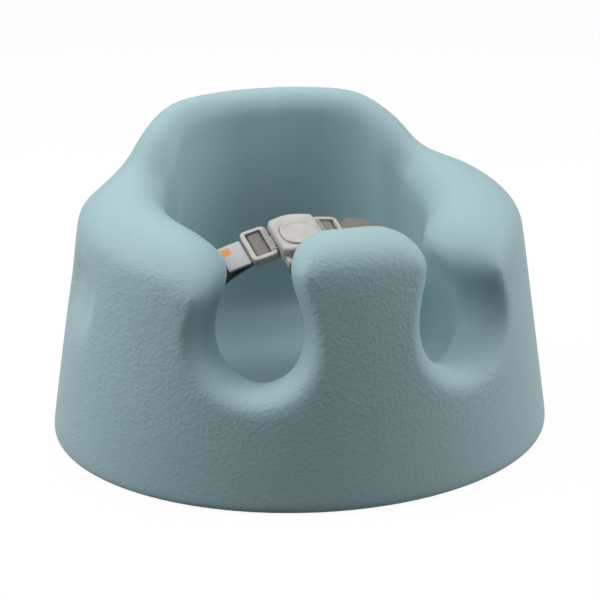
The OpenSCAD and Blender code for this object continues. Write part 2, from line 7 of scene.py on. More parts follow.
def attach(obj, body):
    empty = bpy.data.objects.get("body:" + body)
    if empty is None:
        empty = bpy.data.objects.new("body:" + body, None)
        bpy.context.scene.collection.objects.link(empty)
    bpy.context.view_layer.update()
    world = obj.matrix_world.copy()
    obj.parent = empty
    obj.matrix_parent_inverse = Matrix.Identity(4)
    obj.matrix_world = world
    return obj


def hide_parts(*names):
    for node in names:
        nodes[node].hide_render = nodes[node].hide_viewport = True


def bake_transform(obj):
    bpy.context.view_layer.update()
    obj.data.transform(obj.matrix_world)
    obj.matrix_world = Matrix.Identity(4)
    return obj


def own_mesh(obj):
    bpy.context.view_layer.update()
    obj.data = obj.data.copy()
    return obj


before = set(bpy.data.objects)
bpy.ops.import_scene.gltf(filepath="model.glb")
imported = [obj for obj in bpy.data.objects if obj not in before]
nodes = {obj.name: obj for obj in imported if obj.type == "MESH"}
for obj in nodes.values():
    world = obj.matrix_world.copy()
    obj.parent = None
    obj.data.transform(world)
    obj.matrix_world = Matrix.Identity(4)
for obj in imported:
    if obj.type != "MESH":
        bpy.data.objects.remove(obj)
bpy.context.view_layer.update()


# ---- View ----
# The camera stands where the photograph was taken from, found by fitting the seat's outline:
# to the left of the front, a little above the seat, and with a long lens.
SHOT_TURN = math.radians(-17.5)
SHOT_RISE = math.radians(19.2)
SHOT_DISTANCE = 1.3
AIM_SIDEWAYS = -0.0008
AIM_HEIGHT = 0.0936
LENS = 103.48
SENSOR = 36
NEAREST_SEEN = 0.05

back = Vector((math.sin(SHOT_TURN) * math.cos(SHOT_RISE),
               -math.cos(SHOT_TURN) * math.cos(SHOT_RISE), math.sin(SHOT_RISE)))
right = Vector((math.cos(SHOT_TURN), math.sin(SHOT_TURN), 0))
camera_data = bpy.data.cameras.new("photo_camera")
camera_data.sensor_width = SENSOR
camera_data.lens = LENS
camera_data.clip_start = NEAREST_SEEN
camera = bpy.data.objects.new("photo_camera", camera_data)
camera.location = Vector((0, 0, AIM_HEIGHT)) + right * AIM_SIDEWAYS + back * SHOT_DISTANCE
camera.rotation_mode = "QUATERNION"
camera.rotation_quaternion = (-back).to_track_quat("-Z", "Y")
bpy.context.scene.collection.objects.link(camera)
bpy.context.scene.camera = camera
bpy.context.scene.view_settings.view_transform = "Standard"


# ---- Studio ----
# A pale floor under soft boxes to the left, to the right and overhead, as in the photograph:
# the sides and the tops of the foam catch the light, and what faces the camera is darkest.
class Value:
    """A number that varies over a surface: a socket with the arithmetic that materials use."""

    def __init__(self, maker, socket):
        self.maker = maker
        self.socket = socket

    def _do(self, operation, *numbers):
        return self.maker.add("ShaderNodeMath", {"operation": operation},
                              dict(enumerate(numbers)))

    def __add__(self, other):
        return self._do("ADD", self, other)

    def __radd__(self, other):
        return self._do("ADD", other, self)

    def __sub__(self, other):
        return self._do("SUBTRACT", self, other)

    def __rsub__(self, other):
        return self._do("SUBTRACT", other, self)

    def __mul__(self, other):
        return self._do("MULTIPLY", self, other)

    def __rmul__(self, other):
        return self._do("MULTIPLY", other, self)

    def most(self, other):
        return self._do("MAXIMUM", self, other)

    def size(self):
        return self._do("ABSOLUTE", self)

    def wave(self):
        return self._do("SINE", self)

    def between(self, low, high):
        """0 below low and 1 above high, with a soft step between."""
        return self.maker.add("ShaderNodeMapRange", {"interpolation_type": "SMOOTHSTEP"},
                              {"Value": self, "From Min": low, "From Max": high})


class Material:
    """One material, with its shader's own numbers set on the shader and the rest as nodes."""

    def __init__(self, name, **constants):
        self.material = bpy.data.materials.new(name)
        self.material.use_nodes = True
        self.tree = self.material.node_tree
        self.shader = self.tree.nodes["Principled BSDF"]
        self.feed(**constants)

    def add(self, kind, settings=None, inputs=None, output=0):
        node = self.tree.nodes.new(kind)
        for key, value in (settings or {}).items():
            setattr(node, key, value)
        for key, value in (inputs or {}).items():
            self.put(node.inputs[key], value)
        return Value(self, node.outputs[output])

    def put(self, socket, value):
        if isinstance(value, Value):
            self.tree.links.new(value.socket, socket)
        else:
            socket.default_value = value

    def feed(self, **inputs):
        for socket, value in inputs.items():
            self.put(self.shader.inputs[socket.replace("_", " ")], value)

    def place(self, output="Object"):
        return self.add("ShaderNodeTexCoord", output=output)

    def split(self, vector, axis):
        return self.add("ShaderNodeSeparateXYZ", inputs={0: vector}, output=axis)

    def noise(self, vector, scale, detail, rough=0.5):
        return self.add("ShaderNodeTexNoise", inputs={
            "Vector": vector, "Scale": scale, "Detail": detail, "Roughness": rough})

    def mix(self, share, first, second):
        return self.add("ShaderNodeMix", {"data_type": "RGBA"}, {0: share, 6: first, 7: second}, 2)

    def bump(self, height, distance, strength):
        self.feed(Normal=self.add("ShaderNodeBump", inputs={
            "Height": height, "Distance": distance, "Strength": strength}))


def nothing_selected():
    if bpy.context.object and bpy.context.object.mode != "OBJECT":
        bpy.ops.object.mode_set(mode="OBJECT")
    bpy.ops.object.select_all(action="DESELECT")


WHITE = (1, 1, 1, 1)
FLOOR_WIDE = 8
FLOOR_HEIGHT = -0.0004
FLOOR_BOUNCE = (0.05, 0.055, 0.06, 1)
FLOOR_SHADE = (0.9, 0.9, 0.9, 1)
FLOOR_GLOW = 0.95
AIR_TINT = (0.76, 0.92, 1, 1)
AIR_STRENGTH = 0.17
LAMPS_AIM = Vector((0, 0, 0.12))
# Each soft box's place, width and power
SOFT_BOXES = {
    "box_left": ((-1.2, 0, 1.2), 1.0, 18),
    "box_left_low": ((-1.35, 0.6, 0.6), 1.0, 5),
    "box_right": ((1.4, -0.65, 0.6), 1.0, 12),
    "box_right_high": ((1.2, 0, 1.2), 1.0, 8),
    "box_top": ((0, 0, 1.7), 1.2, 10.5),
    "box_top_back": ((0, 1.0, 1.4), 1.2, 7),
}

# The floor looks nearly white to the camera, and throws little light back at the seat
nothing_selected()
bpy.ops.mesh.primitive_plane_add(size=FLOOR_WIDE, location=(0, 0, FLOOR_HEIGHT))
studio_floor = bpy.context.object
studio_floor.name = "studio_floor"
floor_paint = Material("floor_paint", Roughness=0.9)
seen = floor_paint.add("ShaderNodeLightPath", output="Is Camera Ray")
mirrored = floor_paint.add("ShaderNodeLightPath", output="Is Glossy Ray")
shown = seen.most(mirrored)
floor_paint.feed(Base_Color=floor_paint.mix(shown, FLOOR_BOUNCE, FLOOR_SHADE))
painted = Value(floor_paint, floor_paint.shader.outputs[0])
glow = floor_paint.add("ShaderNodeEmission", inputs={"Color": WHITE, "Strength": 1.0})
floor_paint.put(floor_paint.tree.nodes["Material Output"].inputs[0], floor_paint.add(
    "ShaderNodeMixShader", inputs={0: shown * FLOOR_GLOW, 1: painted, 2: glow}))
studio_floor.data.materials.append(floor_paint.material)

# The air is white where the camera sees it, and a faint blue light on everything else
world = bpy.data.worlds.new("studio_air")
bpy.context.scene.world = world
world.use_nodes = True
air = world.node_tree
air_light = air.nodes["Background"]
air_light.inputs["Color"].default_value = AIR_TINT
air_light.inputs["Strength"].default_value = AIR_STRENGTH
air_seen = air.nodes.new("ShaderNodeBackground")
air_seen.inputs["Color"].default_value = WHITE
air_path = air.nodes.new("ShaderNodeLightPath")
air_mix = air.nodes.new("ShaderNodeMixShader")
air.links.new(air_path.outputs["Is Camera Ray"], air_mix.inputs["Fac"])
air.links.new(air_light.outputs["Background"], air_mix.inputs[1])
air.links.new(air_seen.outputs["Background"], air_mix.inputs[2])
air.links.new(air_mix.outputs["Shader"], air.nodes["World Output"].inputs["Surface"])

for name, (place, wide, power) in SOFT_BOXES.items():
    lamp = bpy.data.lights.new(name, "AREA")
    lamp.shape = "SQUARE"
    lamp.size = wide
    lamp.energy = power
    soft_box = bpy.data.objects.new(name, lamp)
    soft_box.location = place
    soft_box.rotation_mode = "QUATERNION"
    soft_box.rotation_quaternion = (Vector(place) - LAMPS_AIM).to_track_quat("Z", "Y")
    bpy.context.scene.collection.objects.link(soft_box)


# ---- Seat body ----
# One thick moulding of integral-skin foam, grained like leather on its outer walls and smooth
# on the rims and inside. The surface is the solid's own, smoothed by subdivision.
def srgb(red, green, blue):
    """A colour as it is read off a picture, 0 to 255, made linear."""
    parts = [channel / 255 for channel in (red, green, blue)]
    return (*[p / 12.92 if p <= 0.04045 else ((p + 0.055) / 1.055) ** 2.4 for p in parts], 1)


FOAM = srgb(138, 164, 168)
FOAM_WORN = srgb(147, 172, 176)

# The strap slots and their pockets stay crisp: all within this room of each slot's middle
STRAP_SLOTS = [Vector((-0.0792, -0.0111)), Vector((0.0792, -0.0111)), Vector((0, -0.076))]
SLOT_ROOM = 0.024
SLOT_CEILING = 0.07
POCKET_CEILING = 0.045
CRISP_EDGE = math.radians(62)

# How the skin is evened out over the solid, in rounds: most on the front and the arm tips
JOINED_WITHIN = 1e-6
QUAD_BEND = math.radians(80)
QUAD_SKEW = math.radians(180)
SKIN_ROUNDS = 8
FRONT_BACK = -0.045
FRONT_FLOOR = 0.045
FRONT_ROUNDS = 36
ARM_TIPS = [Vector((-0.112, -0.102)), Vector((0.112, -0.102))]
ARM_TIP_HEIGHT = 0.115
ARM_TIP_ROOM = 0.022
ARM_TIP_SPREADS = (0.012, 0.017, 0.022, 0.027, 0.032, 0.037)
ARM_TIP_ROUNDS = 9

# The flat underside: what faces straight down, and how high it may lie
DOWNWARDS = -0.99
FOOT_HELD = 0.0005
FOOT_MERGED = 0.0006
FOOT_FLAT = 0.001
MERGED_BEND = math.radians(0.9)

# The grain starts where the wall turns outwards this far, and is whole after this much more
GRAIN_STARTS = 0.35
GRAIN_GROWS = 0.5
GRAIN_FULL_HEIGHT = 0.09
GRAIN_DEPTH = 0.0008
PEBBLES, RIPPLES, SWELLS = 400, 380, 45
MOTTLES, CLOUDS = 11, 60


def copied(node, name):
    """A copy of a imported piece's mesh as a piece of its own, with its loose triangles joined."""
    nothing_selected()
    piece = bpy.data.objects.new(name, nodes[node].data.copy())
    bpy.context.scene.collection.objects.link(piece)
    bpy.context.view_layer.objects.active = piece
    piece.select_set(True)
    bpy.ops.object.mode_set(mode="EDIT")
    bpy.ops.mesh.select_all(action="SELECT")
    bpy.ops.mesh.remove_doubles(threshold=JOINED_WITHIN)
    bpy.ops.object.mode_set(mode="OBJECT")
    return piece


def pick(piece, kind, chosen):
    """Selects the vertices or faces that pass a test, and leaves the piece in edit mode."""
    bpy.ops.object.mode_set(mode="EDIT")
    bpy.ops.mesh.select_mode(type="FACE" if kind == "polygons" else "VERT")
    bpy.ops.mesh.select_all(action="DESELECT")
    bpy.ops.object.mode_set(mode="OBJECT")
    for part in getattr(piece.data, kind):
        part.select = chosen(part)
    bpy.ops.object.mode_set(mode="EDIT")


def evened(piece, rounds, chosen):
    """Evens out the vertices that pass a test, as a skin does that is drawn over foam."""
    pick(piece, "vertices", chosen)
    bpy.ops.mesh.vertices_smooth(factor=0.5, repeat=rounds)


def finished(piece, material, body, replaced):
    """Gives a piece its material, hides the imported part that it stands in for, and attaches it
    to what carries it.
    """
    piece.data.materials.clear()
    piece.data.materials.append(material.material)
    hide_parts(replaced)
    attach(piece, body)


def by_a_slot(point):
    return (point.z < SLOT_CEILING
            and min((point.xy - slot).length for slot in STRAP_SLOTS) < SLOT_ROOM)


def by_an_arm_tip(point, spread):
    return (abs(point.z - ARM_TIP_HEIGHT) < spread
            and min((point.xy - tip).length for tip in ARM_TIPS) < ARM_TIP_ROOM + spread)


def underneath(face, height):
    return face.normal.z < DOWNWARDS and face.center.z < height


seat_skin = copied("seat_body", "seat_skin")
bpy.ops.object.mode_set(mode="EDIT")
bpy.ops.mesh.select_all(action="SELECT")
bpy.ops.mesh.tris_convert_to_quads(face_threshold=QUAD_BEND, shape_threshold=QUAD_SKEW)
bpy.ops.mesh.select_all(action="DESELECT")
bpy.ops.mesh.select_mode(type="EDGE")
bpy.ops.mesh.edges_select_sharp(sharpness=CRISP_EDGE)
bpy.ops.object.mode_set(mode="OBJECT")
for edge in seat_skin.data.edges:
    first, last = (seat_skin.data.vertices[end].co for end in edge.vertices)
    edge.select = edge.select and by_a_slot((first + last) / 2)
bpy.ops.object.mode_set(mode="EDIT")
bpy.ops.transform.edge_crease(value=1)
bpy.ops.object.mode_set(mode="OBJECT")
smoothing = seat_skin.modifiers.new("smoothing", "SUBSURF")
smoothing.levels = smoothing.render_levels = 2
bpy.ops.object.modifier_apply(modifier="smoothing")
evened(seat_skin, SKIN_ROUNDS,
       lambda vertex: vertex.co.z > FOOT_HELD and not by_a_slot(vertex.co))
evened(seat_skin, FRONT_ROUNDS,
       lambda vertex: vertex.co.y < FRONT_BACK and vertex.co.z > FRONT_FLOOR)
for spread in ARM_TIP_SPREADS:
    evened(seat_skin, ARM_TIP_ROUNDS, lambda vertex: by_an_arm_tip(vertex.co, spread))
pick(seat_skin, "polygons", lambda face: underneath(face, FOOT_MERGED)
     or (by_a_slot(face.center) and face.center.z < POCKET_CEILING))
bpy.ops.mesh.dissolve_limited(angle_limit=MERGED_BEND)
bpy.ops.object.mode_set(mode="OBJECT")
bpy.ops.object.shade_smooth_by_angle(angle=CRISP_EDGE)
for face in seat_skin.data.polygons:
    if underneath(face, FOOT_FLAT):
        face.use_smooth = False

# How much of the moulding's grain each point has: all of it where the wall faces outwards
grained = seat_skin.data.attributes.new("grained", "FLOAT", "POINT")
for number, vertex in enumerate(seat_skin.data.vertices):
    outward = Vector((vertex.co.x, vertex.co.y, 0)).normalized()
    facing = (vertex.normal.dot(outward) - GRAIN_STARTS) / GRAIN_GROWS
    grained.data[number].value = min(1, max(0, facing))

foam_skin = Material("foam_skin", Roughness=0.56, Specular_IOR_Level=0.45)
spot = foam_skin.place()
pebbles = foam_skin.add("ShaderNodeTexVoronoi", {"feature": "SMOOTH_F1"},
                        {"Vector": spot, "Scale": PEBBLES})
ripple = foam_skin.noise(spot, RIPPLES, 4, 0.6)
mottle = foam_skin.noise(spot, MOTTLES, 3)
cloud = foam_skin.noise(spot, CLOUDS, 4)
foam_skin.feed(Base_Color=foam_skin.mix(mottle * 0.7 + cloud * 0.3, FOAM, FOAM_WORN),
               Roughness=0.5 + cloud * 0.12)
wall = foam_skin.add("ShaderNodeAttribute", {"attribute_name": "grained"}, output="Fac")
higher = foam_skin.split(spot, 2).between(0, GRAIN_FULL_HEIGHT)
grain_share = wall * (0.3 + higher * 0.4) + 0.16
grain = (pebbles * 0.75 + ripple) * grain_share
foam_skin.bump(grain + foam_skin.noise(spot, SWELLS, 2) * 0.5, GRAIN_DEPTH, 0.6)
finished(seat_skin, foam_skin, "seat", "seat_body")


# ---- Buckle shell ----
# A push-button buckle, injection-moulded in warm-grey plastic: two halves, welded, with an oval
# opening on top for the button. The buckle is drawn flat and then set down at its tilt.
PLASTIC = srgb(172, 168, 162)
PLASTIC_WORN = srgb(162, 157, 151)
BUCKLE_AT = Vector((-0.0175, -0.0426, 0.1588))
BUCKLE_TILT = Euler((math.radians(20), math.radians(-3.5), math.radians(4)))
SHELL_WIDE, SHELL_LONG, SHELL_CORNER = 0.035, 0.038, 0.005
SHELL_MIDDLE = -0.0035
SHELL_WALL = 0.0018
SHELL_SIDES = 0.0043
SHELL_BOW = 0.0026
SHELL_DOME = [(0.0002, 0.0008), (0.0005, 0.0007), (0.0006, 0.0004), (0.0009, 0.0003)]
HOLLOW_CORNER, HOLLOW_FOOT, HOLLOW_TALL = 0.0014, -0.001, 0.0057
BUTTON_WIDE, BUTTON_LONG, BUTTON_CORNER = 0.027, 0.025, 0.010
BUTTON_MIDDLE = -0.0055
BUTTON_GAP = 0.0003
OPENING_FOOT, OPENING_TALL = 0.002, 0.008
CORNER_STEPS = 6
BOW_STEPS = 8
SHELL_EDGE = 0.00025
ROUNDED_FROM = math.radians(40)
ROUNDED_FROM_FINE = math.radians(50)
SHADED_ROUND = math.radians(38)
HAIR = 1e-5
MARKS, PLASTIC_GRAIN, PLASTIC_GRAIN_DEPTH = 160, 3000, 0.0001

moulded_plastic = Material("moulded_plastic", Roughness=0.42)
spot = moulded_plastic.place()
marks = moulded_plastic.noise(spot, MARKS, 4, 0.6)
moulded_plastic.feed(
    Base_Color=moulded_plastic.mix(marks.between(0.35, 0.75), PLASTIC, PLASTIC_WORN),
    Roughness=0.36 + marks * 0.16)
moulded_plastic.bump(moulded_plastic.noise(spot, PLASTIC_GRAIN, 2), PLASTIC_GRAIN_DEPTH, 0.25)


def moulded(name, wide, long, corner, at, height, steps=(), bow=0.0):
    """A flat moulding with round corners, raised to a height from the place of its underside.

    The steps above the height say how far in and how far up, and the rear edge can bulge.
    """
    nothing_selected()
    bpy.ops.mesh.primitive_plane_add(size=1, location=at)
    piece = bpy.context.object
    piece.name = piece.data.name = name
    piece.scale = (wide, long, 1)
    bpy.ops.object.transform_apply(location=True, rotation=True, scale=True)
    bpy.ops.object.mode_set(mode="EDIT")
    bpy.ops.mesh.select_all(action="SELECT")
    bpy.ops.mesh.bevel(offset=corner, segments=CORNER_STEPS, affect="VERTICES")
    if bow:
        rear = at[1] + long / 2 - HAIR
        pick(piece, "vertices", lambda vertex: vertex.co.y > rear)
        bpy.ops.mesh.subdivide(number_cuts=BOW_STEPS)
        bpy.ops.object.mode_set(mode="OBJECT")
        half = wide / 2 - corner
        for vertex in piece.data.vertices:
            if vertex.co.y > rear:
                vertex.co.y += bow * (1 - ((vertex.co.x - at[0]) / half) ** 2)
        bpy.ops.object.mode_set(mode="EDIT")
    bpy.ops.mesh.select_mode(type="FACE")
    bpy.ops.mesh.select_all(action="SELECT")
    bpy.ops.mesh.extrude_region_move(TRANSFORM_OT_translate={"value": (0, 0, height)})
    for inward, upward in steps:
        bpy.ops.mesh.inset(thickness=inward)
        bpy.ops.transform.translate(value=(0, 0, upward))
    bpy.ops.mesh.select_all(action="SELECT")
    bpy.ops.mesh.normals_make_consistent(inside=False)
    bpy.ops.object.mode_set(mode="OBJECT")
    return piece


def cut(piece, cutter):
    """Takes the cutter out of the piece."""
    cutting = piece.modifiers.new("cutting", "BOOLEAN")
    cutting.object = cutter
    cutting.solver = "EXACT"
    bpy.context.view_layer.objects.active = piece
    bpy.ops.object.modifier_apply(modifier="cutting")
    bpy.data.objects.remove(cutter)


def softened(piece, width, sharper_than=ROUNDED_FROM):
    """Rounds the piece's sharp edges, as a mould does."""
    nothing_selected()
    bpy.context.view_layer.objects.active = piece
    piece.select_set(True)
    rounding = piece.modifiers.new("rounding", "BEVEL")
    rounding.width = width
    rounding.segments = 2
    rounding.limit_method = "ANGLE"
    rounding.angle_limit = sharper_than
    bpy.ops.object.modifier_apply(modifier="rounding")
    bpy.ops.object.shade_smooth_by_angle(angle=SHADED_ROUND)


def joined(piece, *others):
    nothing_selected()
    for part in (*others, piece):
        part.select_set(True)
    bpy.context.view_layer.objects.active = piece
    bpy.ops.object.join()


def set_down(piece, place=Matrix.Identity(4), side=1):
    """Moves a piece's mesh from the flat drawing to the buckle's tilted place."""
    flip = Matrix.Diagonal((side, 1, 1, 1))
    piece.data.transform(Matrix.LocRotScale(BUCKLE_AT, BUCKLE_TILT, None) @ flip @ place)
    if side < 0:
        piece.data.flip_normals()


def coated(material, *parts):
    """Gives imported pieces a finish, and leaves their shape alone."""
    for part in parts:
        nodes[part].data.materials.clear()
        nodes[part].data.materials.append(material.material)


# Upper half: walls, a domed edge, the opening for the button, and the hollow below it
shell_top = moulded("shell_top", SHELL_WIDE, SHELL_LONG, SHELL_CORNER, (0, SHELL_MIDDLE, 0),
                    SHELL_SIDES, SHELL_DOME, bow=SHELL_BOW)
cut(shell_top, moulded("opening", BUTTON_WIDE + 2 * BUTTON_GAP, BUTTON_LONG + 2 * BUTTON_GAP,
                       BUTTON_CORNER + BUTTON_GAP, (0, BUTTON_MIDDLE, OPENING_FOOT),
                       OPENING_TALL))
cut(shell_top, moulded("hollow", SHELL_WIDE - 2 * SHELL_WALL, SHELL_LONG - 2 * SHELL_WALL,
                       HOLLOW_CORNER, (0, SHELL_MIDDLE, HOLLOW_FOOT), HOLLOW_TALL))
softened(shell_top, SHELL_EDGE)
set_down(shell_top)
finished(shell_top, moulded_plastic, "seat", "buckle_cover")

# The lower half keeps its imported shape
coated(moulded_plastic, "buckle_base")


# ---- Release button ----
# An oval button that stands proud of the shell, moulded in the same plastic. A flange below
# keeps it in, and its raised rim runs round a shallow dish for the thumb.
FLANGE_LIP, FLANGE_FOOT, FLANGE_THICK = 0.001, 0.0031, 0.0013
BUTTON_SIDES = 0.0024
BUTTON_RIM = [(0.00015, 0.00045), (0.00035, 0.0003), (0.0005, 0.00015), (0.0010, 0)]
BUTTON_DISH = [(0.0003, -0.00025), (0.0003, -0.0001), (0.004, 0.0001)]
FLANGE_EDGE, BUTTON_EDGE = 0.0002, 0.0001

button_flange = moulded("button_flange", BUTTON_WIDE + 2 * FLANGE_LIP,
                        BUTTON_LONG + 2 * FLANGE_LIP, BUTTON_CORNER,
                        (0, BUTTON_MIDDLE, FLANGE_FOOT), FLANGE_THICK)
push_button = moulded("push_button", BUTTON_WIDE, BUTTON_LONG, BUTTON_CORNER,
                      (0, BUTTON_MIDDLE, FLANGE_FOOT + FLANGE_THICK),
                      BUTTON_SIDES, BUTTON_RIM + BUTTON_DISH)
softened(button_flange, FLANGE_EDGE)
softened(push_button, BUTTON_EDGE, ROUNDED_FROM_FINE)
joined(push_button, button_flange)
set_down(push_button)
finished(push_button, moulded_plastic, "button", "release_button")


# ---- Tongues ----
# A tongue on each side, moulded in the same plastic: a frame round a window, a bar across it for
# the strap, three grip ribs, and the insert that enters the shell. Its latch arms stay as packed.
FRAME_PLACE = Vector((0.018382, 0, -0.0017))
FRAME_DROOP = Euler((0, math.radians(12), 0))
FRAME_AT = Matrix.LocRotScale(FRAME_PLACE, FRAME_DROOP, None)
FRAME_WIDE, FRAME_LONG, FRAME_CORNER = 0.0192, 0.034, 0.004
FRAME_FOOT, FRAME_SIDES = -0.0028, 0.0046
FRAME_DOME = [(0.00012, 0.0005), (0.00038, 0.00037), (0.0005, 0.00013)]
WINDOW_WIDE, WINDOW_LONG, WINDOW_CORNER, WINDOW_MIDDLE = 0.0122, 0.027, 0.0012, 0.0099
CUTTERS_FOOT, WINDOW_TALL = -0.006, 0.012
PATH_CORNER, PATH_MIDDLE, PATH_TALL = 0.0002, 0.0134, 0.0052
BAR_WIDE, BAR_LONG, BAR_CORNER, BAR_X = 0.0074, 0.028, 0.0004, 0.0098
BAR_FOOT, BAR_THICK = -0.0026, 0.0022
RIB_WIDE, RIB_LONG, RIB_CORNER, RIB_TALL = 0.0007, 0.025, 0.0002, 0.0009
RIB_FOOT = 0.0026
RIB_TOP = [(0.0001, 0.00015)]
RIBS_AT = (0.0006, 0.0019, 0.0032)
INSERT_WIDE, INSERT_LONG, INSERT_CORNER = 0.0107, 0.012, 0.0012
INSERT_MIDDLE, INSERT_FOOT, INSERT_THICK = 0.01335, -0.003, 0.0026
FRAME_EDGE, BAR_EDGE, INSERT_EDGE = 0.00045, 0.0009, 0.0003

for side, hand in ((-1, "left"), (1, "right")):
    tongue_frame = moulded(hand + "_tongue_frame", FRAME_WIDE, FRAME_LONG, FRAME_CORNER,
                           (FRAME_WIDE / 2, 0, FRAME_FOOT), FRAME_SIDES, FRAME_DOME)
    cut(tongue_frame, moulded("window", WINDOW_WIDE, WINDOW_LONG, WINDOW_CORNER,
                              (WINDOW_MIDDLE, 0, CUTTERS_FOOT), WINDOW_TALL))
    cut(tongue_frame, moulded("strap_path", FRAME_WIDE, WINDOW_LONG, PATH_CORNER,
                              (PATH_MIDDLE, 0, CUTTERS_FOOT), PATH_TALL))
    softened(tongue_frame, FRAME_EDGE, ROUNDED_FROM_FINE)
    middle_bar = moulded("middle_bar", BAR_WIDE, BAR_LONG, BAR_CORNER, (BAR_X, 0, BAR_FOOT),
                         BAR_THICK)
    softened(middle_bar, BAR_EDGE)
    ribs = [moulded("rib", RIB_WIDE, RIB_LONG, RIB_CORNER, (across, 0, RIB_FOOT), RIB_TALL,
                    RIB_TOP) for across in RIBS_AT]
    joined(tongue_frame, middle_bar, *ribs)
    set_down(tongue_frame, FRAME_AT, side)
    insert = moulded("insert", INSERT_WIDE, INSERT_LONG, INSERT_CORNER,
                     (INSERT_MIDDLE, 0, INSERT_FOOT), INSERT_THICK)
    softened(insert, INSERT_EDGE)
    set_down(insert, side=side)
    joined(tongue_frame, insert)
    finished(tongue_frame, moulded_plastic, hand + "_tongue", hand + "_tongue")

coated(moulded_plastic, "left_latch_arms", "right_latch_arms")


# ---- Lap straps ----
# Polyester harness webbing, 25 mm wide, woven taupe on its face. Its back is painted near-black:
# painted shade for the deep shadow under the strap's plies. Each lap strap runs from its slot in
# the seat up to a tongue, round the middle bar and out as a loose tail. Below the seat it is
# folded flat under its anchor plate.
WEBBING = srgb(106, 102, 97)
WEBBING_WORN = srgb(126, 121, 115)
# The back's colours are painted shade: near-black, for the deep shadow under the strap's plies
WEBBING_BACK_PAINTED_SHADE = srgb(38, 36, 38)
WEBBING_BACK_PAINTED_SHADE_WORN = srgb(58, 56, 58)
WEB_WIDE = 0.025
WEB_THICK = 0.0013
WEB_STRIPS = 6
WEB_SHADED_ROUND = math.radians(50)
WARP = 0.0011
WEFT = 0.0013
SELVEDGE_WIDE = (0.0022, 0.0016)
THREAD_DEPTH = 0.0003
FUZZ = 900

# Heights in the flat drawing: the tail's ply lies over the one that carries the load
PLY_Z = -0.0019
LOAD_Z = -0.0045
FRAME_END = 0.0202
BAR_Z = -0.0015
BAR_HALF = 0.0027
BAR_BEND = 0.0022
BAR_LEAD = 0.0028
TAIL_STEPS = 6
LEAN_OVER = 0.007
HANG_STEPS = 24
BEND_STEPS = 4

# The way down: the slot's place and direction, the drop through it, and the fold at its foot
ANCHOR_ANGLE = math.radians(82)
ANCHOR_OUT = 0.08
SLOT_TOP = 0.062
SLOT_DROP = (0.054, 0.03, 0.0119)
FOLD_BEND, FOLD_Z, FOLD_OUT = 0.0016, 0.0078, 0.007


def woven(name, colour, worn):
    weave = Material(name, Roughness=0.85, Sheen_Weight=0.15, Sheen_Roughness=0.5)
    cloth = weave.place("UV")
    across, along = weave.split(cloth, 0), weave.split(cloth, 1)
    warp = (across * (math.pi / WARP)).wave()
    weft = (along * (math.pi / WEFT) + warp * 0.6).wave()
    inner, outer = (WEB_WIDE / 2 - margin for margin in SELVEDGE_WIDE)
    selvedge = (across - WEB_WIDE / 2).size().between(inner, outer)
    threads = warp.size() * (1 - selvedge * 0.5) + weft.size() * 0.6
    fuzz = weave.noise(cloth, FUZZ, 3)
    weave.feed(Base_Color=weave.mix(threads * 0.4 + fuzz * 0.35, colour, worn))
    weave.bump(threads + fuzz * 0.4, THREAD_DEPTH, 0.7)
    return weave


web_face = woven("webbing_face", WEBBING, WEBBING_WORN)
# The back's material is painted shade, near-black
web_back_painted_shade = woven("webbing_back_painted_shade", WEBBING_BACK_PAINTED_SHADE, WEBBING_BACK_PAINTED_SHADE_WORN)


def curve_point(a, b, c, d, t):
    """A point on the smooth curve from a to d that leaves towards b and comes in from c."""
    return a * (1 - t) ** 3 + 3 * b * t * (1 - t) ** 2 + 3 * c * t * t * (1 - t) + d * t ** 3


def buckle_point(x, y, z):
    return BUCKLE_AT + BUCKLE_TILT.to_matrix() @ Vector((x, y, z))


def frame_point(side, x, z):
    flat = FRAME_AT @ Vector((x, 0, z))
    return buckle_point(side * flat.x, flat.y, flat.z)


def arc(first, last, parts, middle_x, middle_z, radius):
    """Points on part of a circle, for where the webbing goes round a bar."""
    turns = [math.radians(first + (last - first) * i / parts) for i in range(parts + 1)]
    return [(middle_x + radius * math.cos(turn), middle_z + radius * math.sin(turn))
            for turn in turns]


def band(name, route, widths, turned_over=False):
    """A flat strap along a route, taupe on its face and near-black painted shade on its back, with
    its cloth measured along it.
    """
    spine = [Vector(point) for point in route]
    corners, cloth, run = [], [], 0.0
    for number, point in enumerate(spine):
        ahead = (spine[min(len(spine) - 1, number + 1)] - spine[max(0, number - 1)]).normalized()
        wide = (widths[number] - ahead * widths[number].dot(ahead)).normalized()
        run += (point - spine[number - 1]).length if number else 0
        for step in range(WEB_STRIPS + 1):
            share = step / WEB_STRIPS - 0.5
            corners.append(point + wide * share * WEB_WIDE)
            cloth.append(((share + 0.5) * WEB_WIDE, run))
    faces = []
    for row in range(len(spine) - 1):
        for step in range(WEB_STRIPS):
            a = row * (WEB_STRIPS + 1) + step
            face = (a, a + 1, a + WEB_STRIPS + 2, a + WEB_STRIPS + 1)
            faces.append(face[::-1] if turned_over else face)
    mesh = bpy.data.meshes.new(name)
    mesh.from_pydata(corners, [], faces)
    layer = mesh.uv_layers.new(name="cloth")
    for corner in mesh.loops:
        layer.data[corner.index].uv = cloth[corner.vertex_index]
    for weave in (web_face, web_back_painted_shade):
        mesh.materials.append(weave.material)
    strap = bpy.data.objects.new(name, mesh)
    bpy.context.scene.collection.objects.link(strap)
    nothing_selected()
    bpy.context.view_layer.objects.active = strap
    strap.select_set(True)
    thickness = strap.modifiers.new("thickness", "SOLIDIFY")
    thickness.thickness = WEB_THICK
    thickness.offset = 0
    # The back of the strap takes the second material, the near-black painted shade
    thickness.material_offset = 1
    bpy.ops.object.modifier_apply(modifier="thickness")
    bpy.ops.object.shade_smooth_by_angle(angle=WEB_SHADED_ROUND)
    return strap


